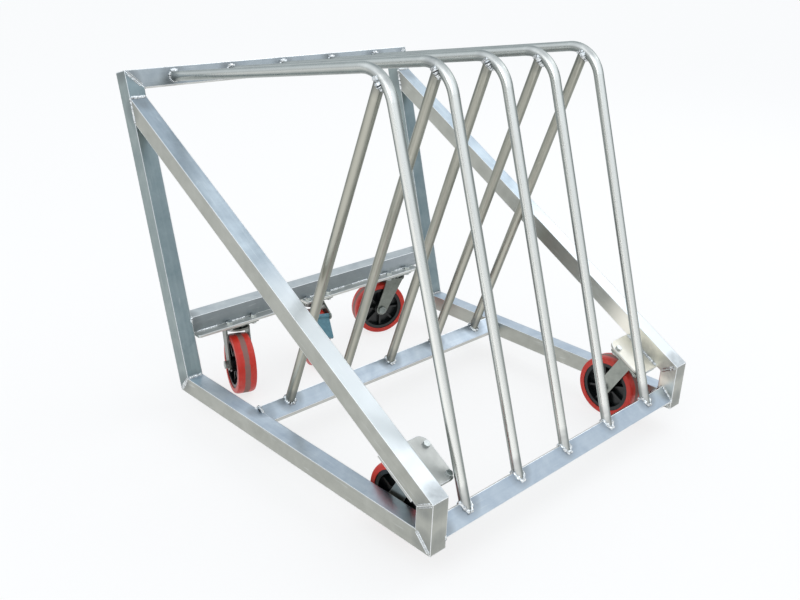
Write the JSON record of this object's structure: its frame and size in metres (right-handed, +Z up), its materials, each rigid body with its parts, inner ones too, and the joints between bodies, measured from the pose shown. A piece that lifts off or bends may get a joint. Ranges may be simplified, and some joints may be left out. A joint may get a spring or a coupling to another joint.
{
  "type": "round table cart",
  "caption": "Wheeled cart of welded tube for round table tops: bent hoops over a leaning frame make upright slots, on swivel and fixed casters.",
  "frame": {"origin": "on the floor under the middle of the cart's box", "axes": "+X to the right, +Y to the back (the hoops' legs stand at the front, -Y), +Z up"},
  "size_m": [0.86, 1.0206, 0.8694],
  "materials": {
    "aluminium_square_tube": "mill finish, lightly scuffed",
    "aluminium_round_tube": "mill finish",
    "aluminium_plate": "sheared plate",
    "zinc_plated_steel": "dull zinc plate",
    "axle_steel": "turned",
    "bolt_steel": "bright zinc",
    "bearing_steel": "ground",
    "polyurethane_tyre": "moulded, worn tread",
    "nylon_core": "moulded, slight gloss",
    "painted_pedal": "semi-gloss"
  },
  "bodies": {
    "frame": {"rear_post_left": "aluminium_square_tube", "rear_post_right": "aluminium_square_tube", "top_rail": "aluminium_square_tube", "base_rail_left": "aluminium_square_tube", "base_rail_right": "aluminium_square_tube", "front_post_left": "aluminium_square_tube", "front_post_right": "aluminium_square_tube", "brace_left": "aluminium_square_tube", "brace_right": "aluminium_square_tube", "rear_rail": "aluminium_square_tube", "middle_rail": "aluminium_square_tube", "front_rail": "aluminium_square_tube", "hoop_1": "aluminium_round_tube", "hoop_2": "aluminium_round_tube", "hoop_3": "aluminium_round_tube", "hoop_4": "aluminium_round_tube", "hoop_5": "aluminium_round_tube", "strut_1": "aluminium_round_tube", "strut_2": "aluminium_round_tube", "strut_3": "aluminium_round_tube", "strut_4": "aluminium_round_tube", "strut_5": "aluminium_round_tube", "front_plate_left": "aluminium_plate", "front_plate_right": "aluminium_plate", "rear_plate_left": "aluminium_plate", "rear_plate_right": "aluminium_plate", "fixed_fork_left": "zinc_plated_steel", "fixed_fork_right": "zinc_plated_steel", "fixed_axle_left": "axle_steel", "fixed_axle_right": "axle_steel", "swivel_plate_left": "zinc_plated_steel", "swivel_plate_middle": "zinc_plated_steel", "swivel_plate_right": "zinc_plated_steel", "kingpins": "axle_steel", "swivel_balls": "bearing_steel", "plate_bolts": "bolt_steel"},
    "swivel_left": {"swivel_fork_left": "zinc_plated_steel", "swivel_axle_left": "axle_steel"},
    "wheel_rear_left": {"swivel_bearing_left": "bearing_steel", "swivel_core_left": "nylon_core", "swivel_tyre_left": "polyurethane_tyre"},
    "swivel_middle": {"swivel_fork_middle": "zinc_plated_steel", "swivel_axle_middle": "axle_steel", "brake_pin": "axle_steel"},
    "wheel_rear_middle": {"swivel_bearing_middle": "bearing_steel", "swivel_core_middle": "nylon_core", "swivel_tyre_middle": "polyurethane_tyre"},
    "swivel_right": {"swivel_fork_right": "zinc_plated_steel", "swivel_axle_right": "axle_steel"},
    "wheel_rear_right": {"swivel_bearing_right": "bearing_steel", "swivel_core_right": "nylon_core", "swivel_tyre_right": "polyurethane_tyre"},
    "brake_pedal": {"brake_pedal": "painted_pedal"},
    "wheel_front_left": {"fixed_bearing_left": "bearing_steel", "fixed_core_left": "nylon_core", "fixed_tyre_left": "polyurethane_tyre"},
    "wheel_front_right": {"fixed_bearing_right": "bearing_steel", "fixed_core_right": "nylon_core", "fixed_tyre_right": "polyurethane_tyre"}
  },
  "joints": [
    {"name": "swivel_left_turn", "type": "hinge", "parent": "frame", "child": "swivel_left", "pos_m": [-0.255, 0.33824, 0.18], "axis": [0, 0, 1], "continuous": true},
    {"name": "wheel_rear_left_spin", "type": "hinge", "parent": "swivel_left", "child": "wheel_rear_left", "pos_m": [-0.26731, 0.30441, 0.075], "axis": [0.9397, -0.342, 0], "continuous": true},
    {"name": "swivel_middle_turn", "type": "hinge", "parent": "frame", "child": "swivel_middle", "pos_m": [-0.014, 0.33824, 0.18], "axis": [0, 0, 1], "continuous": true},
    {"name": "wheel_rear_middle_spin", "type": "hinge", "parent": "swivel_middle", "child": "wheel_rear_middle", "pos_m": [-0.02864, 0.30535, 0.075], "axis": [0.9135, -0.4067, 0], "continuous": true},
    {"name": "swivel_right_turn", "type": "hinge", "parent": "frame", "child": "swivel_right", "pos_m": [0.277, 0.33824, 0.18], "axis": [0, 0, 1], "continuous": true},
    {"name": "wheel_rear_right_spin", "type": "hinge", "parent": "swivel_right", "child": "wheel_rear_right", "pos_m": [0.24362, 0.35172, 0.075], "axis": [-0.3746, -0.9272, 0], "continuous": true},
    {"name": "brake_pedal_press", "type": "hinge", "parent": "swivel_middle", "child": "brake_pedal", "pos_m": [-0.04573, 0.26698, 0.15], "axis": [0.9135, -0.4067, 0], "range_deg": [0, 6.5]},
    {"name": "wheel_front_left_spin", "type": "hinge", "parent": "frame", "child": "wheel_front_left", "pos_m": [-0.353, -0.36402, 0.075], "axis": [1, 0, 0], "continuous": true},
    {"name": "wheel_front_right_spin", "type": "hinge", "parent": "frame", "child": "wheel_front_right", "pos_m": [0.353, -0.36402, 0.075], "axis": [1, 0, 0], "continuous": true}
  ]
}
